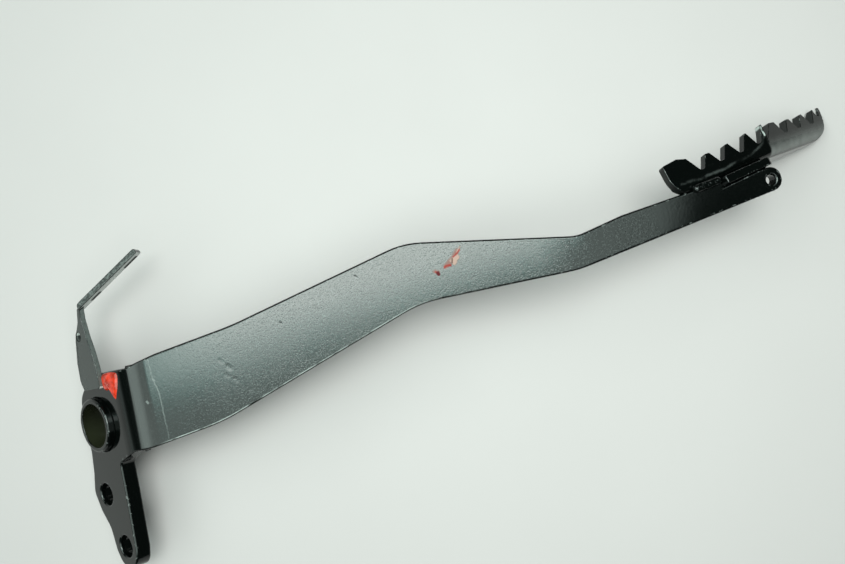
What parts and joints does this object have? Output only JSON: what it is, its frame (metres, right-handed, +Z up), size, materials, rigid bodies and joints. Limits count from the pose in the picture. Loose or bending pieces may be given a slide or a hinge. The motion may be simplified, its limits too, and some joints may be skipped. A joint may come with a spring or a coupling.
{
  "type": "rear brake pedal",
  "caption": "Motorcycle rear brake pedal: a bent steel plate arm with a pivot tube, a drilled lug, a thin stop tab and a foot pad with serrated rims, painted black.",
  "frame": {"origin": "on the pivot bore's axis, at the middle of the pivot plate's thickness", "axes": "X along the arm towards the foot pad, Z straight up with the pedal lying at rest on a level floor, Y across the arm away from the drilled lug"},
  "size_m": [0.2992, 0.1131, 0.0426],
  "materials": {
    "arm_paint": "gloss black paint with orange peel, scratches and red paint marks",
    "tube_paint": "gloss black paint worn to metal at the rim",
    "weld_paint": "gloss black paint over a weld bead",
    "tab_paint": "satin black paint, thin and worn",
    "pad_paint": "gloss black paint worn grey on the edges"
  },
  "bodies": {
    "root": {"pedal_arm": "arm_paint", "pivot_tube": "tube_paint", "tube_weld": "weld_paint", "stop_tab": "tab_paint", "foot_pad": "pad_paint", "pad_support": "pad_paint", "pad_weld": "weld_paint"}
  },
  "joints": []
}
